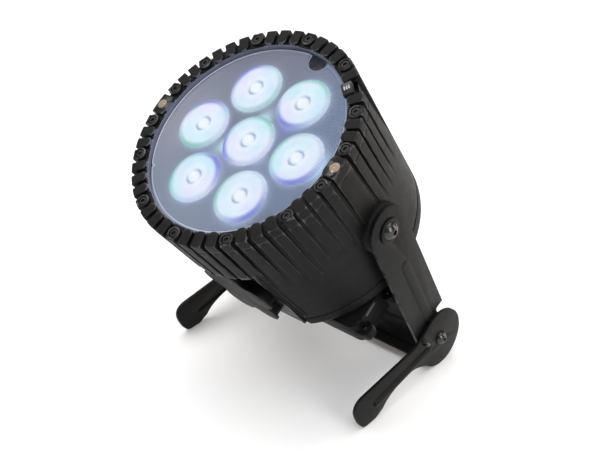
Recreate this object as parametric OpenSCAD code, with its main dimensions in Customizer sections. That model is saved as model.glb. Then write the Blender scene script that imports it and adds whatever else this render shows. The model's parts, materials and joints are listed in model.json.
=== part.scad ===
// Weatherproof stage wash light (par can) with seven lamps, on a bent steel yoke with two
// folding side legs.
//
// Frame: millimetres, +Z up, standing on the floor at Z = 0. The lens looks towards -Y and
// up. X = 0 is the plane midway between the yoke arms, and Y = 0 is midway between the
// light's foremost and rearmost points. In the head's own frame, Z is the lens axis, the
// rim's front face is at Z = 0 and depths are measured backwards from it.

/* [Stance] */
// Lean of the yoke arms from vertical, forwards, in degrees
yoke_lean = 22.5; // [15:0.5:28]
// Angle of the lens axis from vertical, in degrees
head_tilt = 31.1; // [25:0.1:50]
// Distance between the tilt pivot and the leg pivot
arm_len = 161; // [158:1:175]

/* [Head] */
// Outer radius of the toothed rim at its front face
rim_r = 106.4; // [105.8:0.1:107]
// Depth of the head from the rim's face to the back of the rear cover
head_len = 162; // [158:1:166]
// Depth of the seam between the main housing and the rear cover
seam_d = 144.5; // [142:0.5:148]
// Depth of the tilt pivot behind the rim's face
pivot_d = 90; // [84:1:96]
// Thickness of the front bezel
bezel_h = 11; // [10.5:0.5:12]
// Radius of the clear opening in the bezel
opening_r = 91; // [90.5:0.1:91.4]
// Radius of the wall between the ribs
rib_floor_r = 102.4; // [102:0.1:103]
// Width of a rib and of the tooth that caps it
rib_w = 9.2; // [8:0.1:9.8]
// How much the wall's radius shrinks for each millimetre of depth
draft = 0.048; // [0.045:0.001:0.052]

/* [Lamps] */
// Distance between neighbouring lamps
lamp_pitch = 54.2; // [52.5:0.1:55]
// Radius of a collimator lens
lens_r = 25; // [22:0.5:25.5]

/* [Yoke and legs] */
// Distance from the centre plane to an arm's outer face
arm_x = 112; // [111.5:0.5:114]
// Sheet thickness of the yoke
sheet = 3.5; // [3:0.1:3.5]
// Width of the yoke strip
strip_w = 44; // [40:1:46]
// Thickness of a leg
leg_t = 3; // [2.5:0.5:4]
// Radius of a leg's round heel
heel_r = 28.7; // [26:0.1:30]
// Length of a leg from its pivot to the middle of its toe
leg_reach = 109; // [100:1:112]

/* [Service knob] */
// Radius of the knob across its lobes
knob_r = 38; // [32:1:39]
// Number of lobes
knob_lobes = 5; // [4:1:6]

/* [Hidden] */
$fn = 96;
eps = 0.01;          // overlap that joins two shapes of one solid
gap = 0.3;           // clearance between parts on different bodies
fit = 0.05;          // radial clearance of a running fit
thread_r = 1.9;      // shank of the bezel and cover screws

// Stance, worked out from the legs up
shoulder_r = 8;
wall = 3;
edge_break = 1.2;    // chamfer on the teeth
leg_h = heel_r;
pivot_h = leg_h + arm_len * cos(yoke_lean);
front_reach = rim_r * cos(head_tilt) + (pivot_d - edge_break) * sin(head_tilt);
back_reach = (wall_r(head_len - shoulder_r) - shoulder_r) * cos(head_tilt)
             + (head_len - shoulder_r - pivot_d) * sin(head_tilt) + shoulder_r;
pivot_y = (front_reach - back_reach) / 2;
leg_y = pivot_y + arm_len * sin(yoke_lean);

// Rim layout: angles of the screws, plain teeth and wide teeth around the lens axis
screw_ring_r = 100;
screw_angles = [for (side = [0, 180], a = [10, 30, 60, 90, 120, 150, 170]) side + a];
tooth_step = 7.5;
near_tooth_step = 20 / 3;
latch_angle = 45;
plain_angles = concat(
    [for (start = [30, 60, 90, 120, 210, 240, 270, 300], i = [1:3])
        if (start + i * tooth_step != latch_angle) start + i * tooth_step],
    [for (start = [10, 150, 190, 330], i = [1:2]) start + i * near_tooth_step]);
magnet_angles = [0, 180];
wide_tooth_w = 19;
latch_pocket_w = 12.7;
rib_end_d = (rim_r - rib_floor_r) / draft;
channel_d = 3;       // depth of the gaps between teeth on the front face
boss_tooth_r = 6;

// Front stack, as depths
diffuser_d = 5.6;
diffuser_t = 1;
diffuser_r = 89.6;
glass_d = 6.8;
glass_t = 2;
glass_r = 95.5;
lens_top_d = 9.3;
board_d = 30;
holder_top_d = 15;
ledge_r = 86;         // inner radius of the ledge the heat sink is screwed up against
notch_angle = 77;
notch_r = 10;

// Underside recess for the service cover and its knob
recess_d = 60;
recess_w = 50;
recess_y = 84;
knob_d = 114;
knob_h = 10;
shaft_r = 5;
lip = 2.2;            // how far the knob's face plate stands out over its grips
lip_t = 2;

// Rear box, in the head's frame
box_w = 88;
box_low = 72;
box_high = 16;
box_t = 28;
lug_x = 90;
lug_ys = [-64, -26];
lug_r = 7;
lug_d = 172;
lug_h = 10;
box_back_d = head_len + box_t;
button_xs = [-30, -10, 10, 30];
button_y = -19;
button_r = 4.5;
connector_xs = [22, 66];
connector_y = -50;

// Pivots
pivot_r = 5;
boss_r = 22.5;
boss_x = 107.2;
leg_x = arm_x + 1.5;
leg_bolt_r = 4;
plunger_at = [23, 8.2];
plunger_r = 1.8;
bead_y = 0.5;
bead_r = 5;
bead_zs = [32, 110.5];  // ends of the arm's raised bead, above the leg pivot
stud_at = [25.8, 12.8];
stud_r = 2.7;
fold = 90 - yoke_lean;  // turn that lays a leg along its arm
detent_angles = [0, fold / 2, fold];
bar_s = 19;          // distance of the crossbar's underside below the leg pivot
hang_r = 6.5;
side_hole_r = 4.3;
side_hole_x = 30;
bend_r = 8;          // outer radius of the bends between the crossbar and the arms
steel = "#1b1c1f";
black = "#232427";

function wall_r(d) = rim_r - draft * d;
function arc(c, r, a0, a1, n = 10) =
    [for (i = [0:n]) c + r * [cos(a0 + (a1 - a0) * i / n), sin(a0 + (a1 - a0) * i / n)]];
function bezier(a, b, c, n = 10) =
    [for (i = [0:n]) let(t = i / n) (1 - t) * (1 - t) * a + 2 * t * (1 - t) * b + t * t * c];
function round_rect(x0, y0, x1, y1, r) = concat(
    arc([x1 - r, y1 - r], r, 0, 90, 6), arc([x0 + r, y1 - r], r, 90, 180, 6),
    arc([x0 + r, y0 + r], r, 180, 270, 6), arc([x1 - r, y0 + r], r, 270, 360, 6));

// Half outline of a screw's dome: arc about [0, y] from angle a0, with a small flat on top
function dome(y, r, a0) =
    concat([[0, 0]], arc([0, y], r, a0, 80, 9), [[0, y + r * sin(80)]]);

// Places its children, drawn in the head's frame, where the head stands
module in_head() {
    translate([0, pivot_y, pivot_h]) rotate([head_tilt, 0, 0]) translate([0, 0, pivot_d])
        children();
}

// Places children drawn about the leg pivot, with Z up along the arms
module in_yoke() {
    translate([0, leg_y, leg_h]) rotate([yoke_lean, 0, 0]) children();
}

// Places children drawn about the leg pivot with +X forwards, +Y up, thickness along +Z,
// on the outer side of one arm
module in_leg(side) {
    translate([side * leg_x, leg_y, leg_h]) mirror([side > 0 ? 0 : 1, 0, 0])
        rotate([90, 0, 90]) mirror([1, 0, 0]) children();
}

module both_sides() {
    children();
    mirror([1, 0, 0]) children();
}

// A ring or disc between two depths
module disc(d0, d1, r, hole = 0) {
    translate([0, 0, -d1]) difference() {
        cylinder(h = d1 - d0, r = r);
        if (hole > 0) translate([0, 0, -1]) cylinder(h = d1 - d0 + 2, r = hole);
    }
}

// A bar that runs out from the lens axis
module spoke(angle, w, r0, d0, d1) {
    rotate([0, 0, angle]) translate([r0, -w / 2, -d1]) cube([rim_r + 5 - r0, w, d1 - d0]);
}

module at_ring(angle, r = screw_ring_r) {
    rotate([0, 0, angle]) translate([r, 0, 0]) children();
}

module lamps() {
    children();
    for (i = [0:5]) rotate([0, 0, 60 * i]) translate([lamp_pitch, 0, 0]) children();
}

// Every rib as a bar from radius r0 outwards, clear of the latch pocket
module all_bars(r0, d0, d1) {
    for (a = concat(plain_angles, screw_angles)) spoke(a, rib_w, r0, d0, d1);
    for (a = magnet_angles) spoke(a, wide_tooth_w, r0, d0, d1);
}

// The rim's teeth: bars, with a round boss in place of the inner end where a screw goes
module all_teeth(d0, d1) {
    for (a = plain_angles) spoke(a, rib_w, opening_r - 3, d0, d1);
    for (a = magnet_angles) spoke(a, wide_tooth_w, opening_r - 3, d0, d1);
    for (a = screw_angles) {
        spoke(a, rib_w, screw_ring_r, d0, d1);
        at_ring(a) translate([0, 0, -d1]) cylinder(h = d1 - d0, r = boss_tooth_r, $fn = 48);
    }
}

module cone_solid(d0, d1, inset = 0) {
    rotate_extrude() polygon([[0, -d0], [wall_r(d0) - inset, -d0],
                              [wall_r(d1) - inset, -d1], [0, -d1]]);
}

// Space of the underside recess, open to the rear
module recess_space(grow = 0) {
    translate([-recess_w - grow, -rim_r - 10, -head_len - 10])
        cube([2 * (recess_w + grow), rim_r + 10 - recess_y + grow,
              head_len + 10 - recess_d + grow]);
}

module housing() color(black) in_head() difference() {
    union() {
        difference() {
            rotate_extrude() polygon([
                [wall_r(bezel_h), -bezel_h], [wall_r(seam_d), -seam_d],
                [wall_r(seam_d) - wall, -seam_d],
                [wall_r(seam_d) - wall, -board_d - 2], [ledge_r, -board_d - 2],
                [ledge_r, -board_d + 3], [rib_floor_r - wall - 1, -board_d + 3],
                [rib_floor_r - wall - 1, -bezel_h - 5], [88, -bezel_h - 5], [88, -bezel_h]]);
            difference() {
                disc(bezel_h - 1, rib_end_d + 5, rim_r + 5, rib_floor_r);
                all_bars(rib_floor_r - 2, bezel_h - 2, rib_end_d + 6);
            }
        }
        both_sides() translate([98, 0, -pivot_d]) rotate([0, 90, 0])
            cylinder(h = boss_x - 98, r = boss_r);
        intersection() {
            recess_space(grow = wall);
            cone_solid(recess_d - 10, seam_d, inset = 1);
        }
    }
    recess_space();
    both_sides() translate([90, 0, -pivot_d]) rotate([0, 90, 0])
        cylinder(h = 20, r = pivot_r);
    for (a = screw_angles) at_ring(a) translate([0, 0, -bezel_h - 6])
        cylinder(h = 8, r = thread_r, $fn = 24);
    translate([0, 0, -knob_d]) rotate([90, 0, 0]) cylinder(h = 120, r = shaft_r + fit);
}

module front_bezel() color(black) in_head() difference() {
    rotate_extrude() polygon([
        [opening_r, 0], [wall_r(edge_break) - edge_break, 0],
        [wall_r(edge_break), -edge_break], [wall_r(bezel_h), -bezel_h],
        [glass_r + gap, -bezel_h], [glass_r + gap, -glass_d], [opening_r, -glass_d]]);
    difference() {
        union() {
            disc(-1, channel_d, rim_r + 5);
            disc(-2, bezel_h + 1, rim_r + 5, rib_floor_r);
        }
        all_teeth(-3, bezel_h + 2);
    }
    for (a = screw_angles) at_ring(a) {
        translate([0, 0, -bezel_h - 1]) cylinder(h = bezel_h + 2, r = 2, $fn = 24);
        translate([0, 0, -2.8]) cylinder(h = 4, r = 4.4, $fn = 32);
    }
    for (a = magnet_angles) at_ring(a) translate([0, 0, -2.5]) cylinder(h = 4, r = 4.7);
    rotate([0, 0, latch_angle]) translate([opening_r - 4, -latch_pocket_w / 2, -4.5])
        cube([15.4, latch_pocket_w, 6]);
}

module bezel_screws() color("#2d2e31") in_head()
    for (a = screw_angles) at_ring(a) difference() {
        union() {
            translate([0, 0, -2.8]) cylinder(h = 2.4, r = 3.7, $fn = 32);
            translate([0, 0, -bezel_h - 4.9]) cylinder(h = bezel_h + 3, r = thread_r, $fn = 24);
        }
        translate([0, 0, -1.8]) cylinder(h = 3, r = 1.9, $fn = 6);
    }

module filter_magnets() color("#96826e") in_head()
    for (a = magnet_angles) at_ring(a) translate([0, 0, -2.5]) cylinder(h = 2.4, r = 4.6);

module filter_latch() color("#3a3b3e") in_head() rotate([0, 0, latch_angle])
    translate([89.5, 0, 0]) {
        translate([0, -6, -4.2]) cube([9, 12, 4.8]);
        for (i = [0:2]) translate([2 + 2 * i, -2, 0.6 - eps]) cube([1.2, 4, 0.8]);
    }

module diffuser_plate() color("#c9d6ea") in_head() difference() {
    disc(diffuser_d, diffuser_d + diffuser_t, diffuser_r);
    rotate([0, 0, notch_angle]) translate([opening_r - 3, 0, -10]) cylinder(h = 10, r = notch_r);
}

module cover_glass() color("#d8e4f0") in_head() disc(glass_d, glass_d + glass_t, glass_r);

module glass_gasket() color("#151515") in_head()
    disc(glass_d + glass_t, bezel_h, glass_r, 92.5);

module lens_frame() color("#15161a") in_head() difference() {
    disc(holder_top_d - 2, holder_top_d, 87.5);
    lamps() translate([0, 0, -20]) cylinder(h = 20, r = lens_r + 0.4);
}

module collimator_lenses() color("#dfe8ff") in_head() lamps()
    translate([0, 0, -board_d + 1.3]) {
        cylinder(h = 17, r1 = 9, r2 = lens_r - 0.5);
        translate([0, 0, 17 - eps])
            cylinder(h = board_d - lens_top_d - 18.3 + eps, r = lens_r - 0.5);
    }

module lens_holders() color("#e8e8e8") in_head() lamps()
    translate([0, 0, -board_d]) difference() {
        cylinder(h = board_d - holder_top_d, r = lens_r + 1.2);
        translate([0, 0, -1]) cylinder(h = 2.5, r = 9.4);
        translate([0, 0, 1.3]) cylinder(h = 17, r1 = 9.1, r2 = lens_r - 0.4);
    }

module led_packages() color("#f2e28a") in_head() lamps()
    translate([-2.5, -2.5, -board_d]) cube([5, 5, 1]);

module led_board() color("#e6e6e0") in_head() disc(board_d, board_d + 2, 84);

module heat_sink() color("#b8babd") in_head() {
    disc(board_d + 2, board_d + 8, wall_r(seam_d) - wall - 0.5);
    intersection() {
        for (i = [-5:5]) translate([i * 13 - 1.5, -66, -98]) cube([3, 132, 60.1]);
        disc(board_d + 7, 98, 74);
    }
}

module driver_board() color("#1f5c34") in_head() {
    translate([-60, -42, -104]) cube([120, 96, 1.6]);
    for (x = [-36, 0, 36]) translate([x - 9, -20, -102.4 - eps]) cube([18, 18, 4]);
}

module power_supply() color("#9a9c9f") in_head() translate([-64, -40, -142]) cube([128, 84, 32]);

module rear_seal() color("#141414") in_head() difference() {
    disc(seam_d - 2, seam_d, wall_r(seam_d) - wall - 0.6, wall_r(seam_d) - wall - 3.6);
    recess_space(grow = wall + 0.5);
}

// Cup outline that the rear cover is turned from
module cover_profile(inset) {
    r = wall_r(head_len - shoulder_r) - shoulder_r;
    polygon(concat([[0, -seam_d], [wall_r(seam_d) - inset, -seam_d]],
        [for (p = arc([r, -head_len + shoulder_r], shoulder_r - inset, 0, -90, 8)) p],
        [[0, -head_len + inset]]));
}

module rear_cover() color(black) in_head() difference() {
    union() {
        difference() {
            rotate_extrude() cover_profile(0);
            translate([0, 0, 1]) rotate_extrude() cover_profile(wall);
            translate([0, 0, -seam_d - 0.9]) difference() {
                cylinder(h = 2, r = rim_r);
                translate([0, 0, -1]) cylinder(h = 4, r = wall_r(seam_d) - 0.7);
            }
        }
        intersection() {
            recess_space(grow = wall);
            rotate_extrude() cover_profile(0.7);
        }
    }
    recess_space();
    translate([-50, -34, -head_len - 1]) cube([100, 36, wall + 2]);
    for (a = cover_screw_angles) at_ring(a, 82) translate([0, 0, -head_len - 1])
        cylinder(h = 8, r = thread_r, $fn = 24);
}

cover_screw_angles = [20, 55, 90, 125, 160];

module rear_cover_screws() color("#c8c8c8") in_head()
    for (a = cover_screw_angles) at_ring(a, 82) translate([0, 0, -head_len]) {
        translate([0, 0, -2]) cylinder(h = 2, r = 3.6, $fn = 32);
        translate([0, 0, -eps]) cylinder(h = wall, r = thread_r, $fn = 24);
    }

module rear_box() color("#1d1e20") in_head() difference() {
    union() {
        translate([0, 0, -box_back_d]) linear_extrude(box_t - 1)
            polygon(round_rect(-box_w, -box_low, box_w, box_high, 9));
        both_sides() for (y = lug_ys) {
            translate([lug_x, y, -lug_d - lug_h]) cylinder(h = lug_h, r = lug_r, $fn = 48);
            translate([box_w - 10, y - lug_r, -lug_d - lug_h])
                cube([lug_x - box_w + 10, 2 * lug_r, lug_h]);
        }
    }
    translate([0, 0, -box_back_d + wall]) linear_extrude(box_t - 1 - 2 * wall)
        polygon(round_rect(-box_w + wall, -box_low + wall, box_w - wall, box_high - wall, 6));
    translate([-50, -34, -box_back_d + wall]) cube([100, 36, box_t]);
    both_sides() for (y = lug_ys) translate([lug_x, y, -lug_d - lug_h + 2]) {
        cylinder(h = lug_h, r = thread_r, $fn = 24);
        translate([0, 0, lug_h - 2]) cylinder(h = 12, r = 4.2, $fn = 48);
    }
    for (x = button_xs) translate([x, button_y, -box_back_d - 1])
        cylinder(h = wall + 2, r = button_r + fit);
    translate([-26, -8, -box_back_d - 1]) cube([52, 18, 2.5]);
    for (s = [-1, 1], x = connector_xs) translate([s * x, connector_y, -box_back_d - 1])
        cylinder(h = wall + 2, r = 9);
}

module rear_box_seal() color("#111111") in_head() translate([0, 0, -head_len - 1]) difference() {
    linear_extrude(1) polygon(round_rect(-60, -60, 60, 12, 6));
    translate([-52, -52, -1]) cube([104, 56, 3]);
}

module rear_box_screws() color("#d5d6d8") in_head() both_sides() for (y = lug_ys)
    translate([lug_x, y, -lug_d]) {
        translate([0, 0, 2 - lug_h]) cylinder(h = lug_h - 2 + eps, r = thread_r, $fn = 24);
        rotate_extrude($fn = 48) polygon(dome(-0.6, 2.6, 14));
    }

module label_plates() color("#9a9590") in_head() both_sides()
    translate([box_w, -55, -head_len - 5.5]) cube([0.8, 14, 3.5]);

module control_board() color("#1f5c34") in_head() translate([-44, -30, -box_back_d + 8]) {
    cube([88, 38, 1.6]);
    for (x = button_xs) translate([x + 41, 8, -1.8]) cube([6, 6, 1.8 + eps]);
}

module display_window() color("#0b1420") in_head()
    translate([-25.9, -7.9, -box_back_d + 0.3]) cube([51.8, 17.8, 1.2]);

// A menu key that is pressed towards the lens
module menu_button(x) color("#55585c") in_head() translate([x, button_y, -box_back_d]) {
    translate([0, 0, -1.6]) cylinder(h = 1.6 + wall + 1.2, r = button_r);
}

module button_menu() menu_button(button_xs[0]);
module button_up() menu_button(button_xs[1]);
module button_down() menu_button(button_xs[2]);
module button_enter() menu_button(button_xs[3]);

// A panel connector closed by its screw cap
module capped_connector(cap_r) {
    translate([0, 0, -2]) linear_extrude(2) polygon(round_rect(-14, -14, 14, 14, 3));
    translate([0, 0, -11]) cylinder(h = 9 + eps, r = cap_r);
    translate([0, 0, -eps]) cylinder(h = wall + 9, r = 8.8);
}

module power_connectors() color("#2b3f5c") in_head() both_sides()
    translate([connector_xs[1], connector_y, -box_back_d]) capped_connector(11);

module data_connectors() color("#303236") in_head() both_sides()
    translate([connector_xs[0], connector_y, -box_back_d]) capped_connector(9.5);

module vent_plug() color("#606468") in_head() translate([-36, 40, -head_len]) {
    translate([0, 0, -4]) cylinder(h = 4, r = 8, $fn = 6);
    translate([0, 0, -6]) cylinder(h = 2 + eps, r = 5.5);
}

// Plate eye for a safety cable, on two feet
module safety_eye() color("#3b3d40") in_head() translate([0, 52, -head_len]) difference() {
    union() {
        translate([-2.5, -9, -16]) cube([5, 18, 16]);
        translate([-2.5, 0, -16]) rotate([0, 90, 0]) cylinder(h = 5, r = 9);
        translate([-11, -9, -3]) cube([22, 18, 3]);
    }
    translate([-6, 0, -14.5]) rotate([0, 90, 0]) cylinder(h = 12, r = 5.5);
}

module service_cover() color("#202124") in_head() difference() {
    union() {
        translate([-44, -recess_y - 3, -head_len + 4])
            cube([88, 2.2, head_len - 4 - recess_d - 4]);
        both_sides() translate([41, -recess_y - 6.5, -head_len + 4])
            cube([3, 5.7, head_len - 4 - recess_d - 4]);
    }
    translate([0, 0, -knob_d]) rotate([90, 0, 0]) cylinder(h = 120, r = shaft_r + fit);
}

module service_seal() color("#101010") in_head() translate([0, -recess_y, 0]) difference() {
    translate([-44, -0.8, -head_len + 4]) cube([88, 0.8, head_len - 4 - recess_d - 4]);
    translate([-38, -2, -head_len + 10]) cube([76, 4, head_len - 20 - recess_d]);
}

// Draws children about the knob's axis, with +Z pointing out of the recess
module on_knob_axis() {
    translate([0, -recess_y, -knob_d]) rotate([90, 0, 0]) children();
}

module lobed_plate(h, grow) {
    lobe_r = knob_r / 3;
    cylinder(h = h, r = knob_r * 0.7 + grow);
    for (i = [0:knob_lobes - 1]) rotate([0, 0, 360 / knob_lobes * i + 90])
        translate([knob_r - lobe_r, 0, 0]) cylinder(h = h, r = lobe_r + grow);
}

// Star knob whose face plate stands out over the grips
module service_knob() color("#2e2f33") in_head() on_knob_axis() {
    translate([0, 0, 3.3]) lobed_plate(knob_h, 0);
    translate([0, 0, 3.3 + knob_h - lip_t]) lobed_plate(lip_t, lip);
    translate([0, 0, -9]) cylinder(h = 13, r = shaft_r);
}

module knob_cam() color("#8a8c8f") in_head() on_knob_axis() translate([0, 0, -7]) difference() {
    translate([-7, -7, 0]) cube([32, 14, 3]);
    translate([0, 0, -1]) cylinder(h = 5, r = shaft_r);
}

module friction_discs() color("#4a463f") in_head() both_sides()
    translate([boss_x, 0, -pivot_d]) rotate([0, 90, 0]) difference() {
        cylinder(h = arm_x - sheet - gap - boss_x, r = boss_r - 0.6);
        translate([0, 0, -1]) cylinder(h = 4, r = pivot_r);
    }

module pivot_washers() color(steel) in_head() both_sides()
    translate([arm_x + gap, 0, -pivot_d]) rotate([0, 90, 0]) difference() {
        cylinder(h = 1.5, r = 11.5);
        translate([0, 0, -1]) cylinder(h = 4, r = pivot_r);
    }

// Domed button head with a hexagon socket, sitting on z = 0, and its shank below
module domed_bolt(head_r, head_h, shank_r, shank_l) {
    dome_r = (head_r * head_r + head_h * head_h) / (2 * head_h);
    difference() {
        union() {
            rotate_extrude()
                polygon(dome(head_h - dome_r, dome_r, asin((dome_r - head_h) / dome_r)));
            translate([0, 0, -shank_l]) cylinder(h = shank_l + eps, r = shank_r);
        }
        translate([0, 0, head_h * 0.45]) cylinder(h = head_h, r = head_r * 0.3, $fn = 6);
    }
}

module pivot_bolts() color(steel) in_head() both_sides()
    translate([arm_x + gap + 1.5, 0, -pivot_d]) rotate([0, 90, 0])
        domed_bolt(8.4, 5, pivot_r, 17);

// Side view of an arm, as forward distance and height from the leg pivot
module arm_side() {
    h = strip_w / 2;
    notch_w = 10.5;
    notch = [12, 27.6];
    polygon(concat(
        arc([0, arm_len], h, 0, 180, 24),
        [[-h, notch[1] + 2]], arc([-h + notch_w - 2, notch[1]], 2, 90, 0, 4),
        arc([-h + notch_w - 2, notch[0]], 2, 0, -90, 4), [[-h, notch[0] - 2]],
        [[-h, bend_r - bar_s], [h, bend_r - bar_s]]));
}

// Front view of the crossbar with the bend at each end
module crossbar_front() {
    q = bend_r - sheet;
    at = [arm_x - bend_r, bend_r - bar_s];
    polygon(concat(
        arc([-at[0], at[1]], bend_r, 180, 270, 8), arc(at, bend_r, 270, 360, 8),
        arc(at, q, 360, 270, 8), arc([-at[0], at[1]], q, 270, 180, 8)));
}

module yoke_crossbar() color(steel) in_yoke() difference() {
    union() {
        rotate([90, 0, 0]) translate([0, 0, -strip_w / 2]) linear_extrude(strip_w)
            crossbar_front();
        translate([-90, -12, -bar_s + sheet - eps]) cube([180, 21, 2]);
    }
    translate([0, 0, -bar_s - 1]) {
        cylinder(h = 10, r = hang_r);
        for (x = [-1, 1]) translate([x * side_hole_x, 0, 0]) cylinder(h = 10, r = side_hole_r);
    }
}

// One arm: a flat strip with a raised bead, holes for both pivots and the leg's detents
module yoke_arm(side) color(steel) in_yoke() mirror([side > 0 ? 0 : 1, 0, 0]) difference() {
    union() {
        rotate([90, 0, -90]) translate([0, 0, -arm_x]) linear_extrude(sheet) arm_side();
        translate([arm_x - eps, bead_y, 0]) rotate([0, 90, 0]) {
            for (z = bead_zs) translate([-z, 0, 0]) cylinder(h = 1, r = bead_r);
            translate([-bead_zs[1], -bead_r, 0]) cube([bead_zs[1] - bead_zs[0], 2 * bead_r, 1]);
        }
    }
    rotate([0, 90, 0]) {
        cylinder(h = 150, r = leg_bolt_r);
        translate([-arm_len, 0, 0]) cylinder(h = 150, r = pivot_r + fit);
    }
    for (a = detent_angles) rotate([-yoke_lean - a, 0, 0])
        translate([0, -plunger_at[0], plunger_at[1]]) rotate([0, 90, 0])
            cylinder(h = 150, r = plunger_r + 0.4, $fn = 32);
}

module yoke_arm_right() yoke_arm(1);
module yoke_arm_left() yoke_arm(-1);

module leg_spacers() color("#6d6f72") in_yoke() both_sides()
    translate([arm_x, 0, 0]) rotate([0, 90, 0]) difference() {
        cylinder(h = leg_x - gap - arm_x, r = 10);
        translate([0, 0, -1]) cylinder(h = 4, r = leg_bolt_r);
    }

module leg_bolts() color(steel) in_yoke() both_sides()
    translate([leg_x + leg_t + gap, 0, 0]) rotate([0, 90, 0])
        domed_bolt(6.6, 4.4, leg_bolt_r, leg_t + gap + leg_x - arm_x + sheet);

// Side view of a leg about its pivot: round heel, tapering blade, arched sole and a toe whose
// underside is flat for a short length
module leg_side() {
    sole = -heel_r;
    toe = leg_reach;
    circle(r = heel_r, $fn = 128);
    polygon(concat(
        [[0, 0]], bezier([17, 23], [27, 15.5], [39, 10.6], 8),
        bezier([toe + 3, sole + 33.7], [toe + 18, sole + 31.2], [toe + 12, sole + 14.7], 10),
        bezier([toe + 12, sole + 14.7], [toe + 9.5, sole + 6.7], [toe + 4.5, sole + 1.5], 5),
        [[toe, sole], [toe - 12, sole]],
        bezier([toe - 22.8, sole + 4.2], [toe - 33, sole + 15.2], [48, sole + 17.9], 8),
        bezier([48, sole + 17.9], [33, sole + 18.7], [14, sole + 4.5], 8)));
}

// The bead pressed along a leg's blade, seen from the side
module leg_bead(r) {
    translate([18.5, -2]) rotate(-8.3) {
        translate([0, -r]) square([77, 2 * r]);
        for (x = [0, 77]) translate([x, 0]) circle(r = r, $fn = 32);
    }
}

module leg_plate(side) color(steel) in_leg(side) difference() {
    union() {
        linear_extrude(leg_t) leg_side();
        translate([0, 0, leg_t - eps]) linear_extrude(1.5) leg_bead(3.2);
        translate([stud_at[0], stud_at[1], leg_t - eps]) cylinder(h = 2.4, r = stud_r, $fn = 32);
    }
    translate([0, 0, -1]) linear_extrude(2.2) leg_bead(2.4);
    translate([0, 0, -1]) cylinder(h = 10, r = leg_bolt_r + fit);
    translate([plunger_at[0], plunger_at[1], -1])
        cylinder(h = 10, r = plunger_r + fit, $fn = 32);
}

module leg_right() leg_plate(1);
module leg_left() leg_plate(-1);

// Sprung detent pin: its nose stands just off the arm's face
module plunger(side) color("#3c3e42") in_leg(side)
    translate([plunger_at[0], plunger_at[1], 0]) {
        translate([0, 0, gap - (leg_x - arm_x)])
            cylinder(h = leg_x - arm_x + leg_t + eps, r = plunger_r, $fn = 32);
        translate([0, 0, leg_t + gap]) {
            cylinder(h = 2, r = 2.6, $fn = 32);
            translate([0, 0, 2 - eps]) rotate_extrude($fn = 32) polygon(dome(0.4, 2.3, -10));
        }
    }

module plunger_right() plunger(1);
module plunger_left() plunger(-1);

housing();
front_bezel();
bezel_screws();
filter_magnets();
filter_latch();
diffuser_plate();
cover_glass();
glass_gasket();
lens_frame();
collimator_lenses();
lens_holders();
led_packages();
led_board();
heat_sink();
driver_board();
power_supply();
rear_seal();
rear_cover();
rear_cover_screws();
rear_box();
rear_box_seal();
rear_box_screws();
label_plates();
control_board();
display_window();
button_menu();
button_up();
button_down();
button_enter();
power_connectors();
data_connectors();
vent_plug();
safety_eye();
service_cover();
service_seal();
service_knob();
knob_cam();
friction_discs();
pivot_washers();
pivot_bolts();
yoke_crossbar();
yoke_arm_right();
yoke_arm_left();
leg_spacers();
leg_bolts();
leg_right();
leg_left();
plunger_right();
plunger_left();
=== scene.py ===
"""Looks for the par can light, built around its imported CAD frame.

The head's own frame has Z along the lens axis with the rim's front face at Z = 0. The yoke's
own frame has its origin at the leg pivots and Z up along the arms. Both are in millimetres and
are placed by the matrices HEAD and YOKE. Everything in Blender is in metres.
"""

import json
import math

import bmesh
import bpy
from mathutils import Matrix, Vector, noise


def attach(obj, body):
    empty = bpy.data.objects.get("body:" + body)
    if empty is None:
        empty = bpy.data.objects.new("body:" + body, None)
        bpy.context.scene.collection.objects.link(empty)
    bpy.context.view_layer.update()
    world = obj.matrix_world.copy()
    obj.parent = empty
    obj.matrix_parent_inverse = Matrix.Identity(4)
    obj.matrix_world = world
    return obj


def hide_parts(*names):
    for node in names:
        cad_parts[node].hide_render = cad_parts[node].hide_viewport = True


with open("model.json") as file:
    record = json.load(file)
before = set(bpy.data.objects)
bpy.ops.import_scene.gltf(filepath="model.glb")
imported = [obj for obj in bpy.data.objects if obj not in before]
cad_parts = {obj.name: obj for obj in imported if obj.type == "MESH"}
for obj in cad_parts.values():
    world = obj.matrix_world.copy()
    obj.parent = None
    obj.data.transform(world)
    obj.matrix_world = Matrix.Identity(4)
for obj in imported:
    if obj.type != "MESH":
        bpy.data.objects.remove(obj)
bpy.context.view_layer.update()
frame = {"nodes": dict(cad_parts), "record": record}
NODES = frame["nodes"]
JOINTS = {joint["name"]: joint for joint in frame["record"]["behaviour"]["joints"]}
BODY_OF = {
    node: body
    for body, nodes in frame["record"]["behaviour"]["bodies"].items()
    for node in nodes
}
SLOT_OF = {part["node"]: part["material_slot"] for part in frame["record"]["subparts"]}

MM = 0.001

# Angles at rest, and sizes of the CAD part in mm. A name that ends in _R is a radius, and one
# that ends in _D is a depth behind the rim's front face.
TILT = math.radians(31.1)
LEAN = math.radians(22.5)
PIVOT_D = 90.0
RIM_R = 106.4
DRAFT = 0.048  # what the head's radius loses for each mm of depth
FLOOR_R = 102.4
OPENING_R = 91.0
BEZEL_H = 11.0
SEAM_D = 144.5
CHANNEL_D = 3.0
SCREW_R = 100.0
HALF_RIB = 4.6
HALF_WIDE = 9.5
BOSS_R = 6.0
LAMP_PITCH = 54.2
LENS_R = 24.4
LENS_TOP_D = 9.3
MASK_D = 12.4
SHEET_D = 5.6
SHEET_T = 1.0
SHEET_R = 89.6
GLASS_D = 6.8
RECESS_W = 50.0  # half the width of the underside recess
RECESS_Y = 84.0
RECESS_D = 60.0
ARM_X = 112.0
LEG_FACE_X = 116.5
BOX_BACK_D = 190.0
CONNECTOR_Y = -50.0

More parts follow.
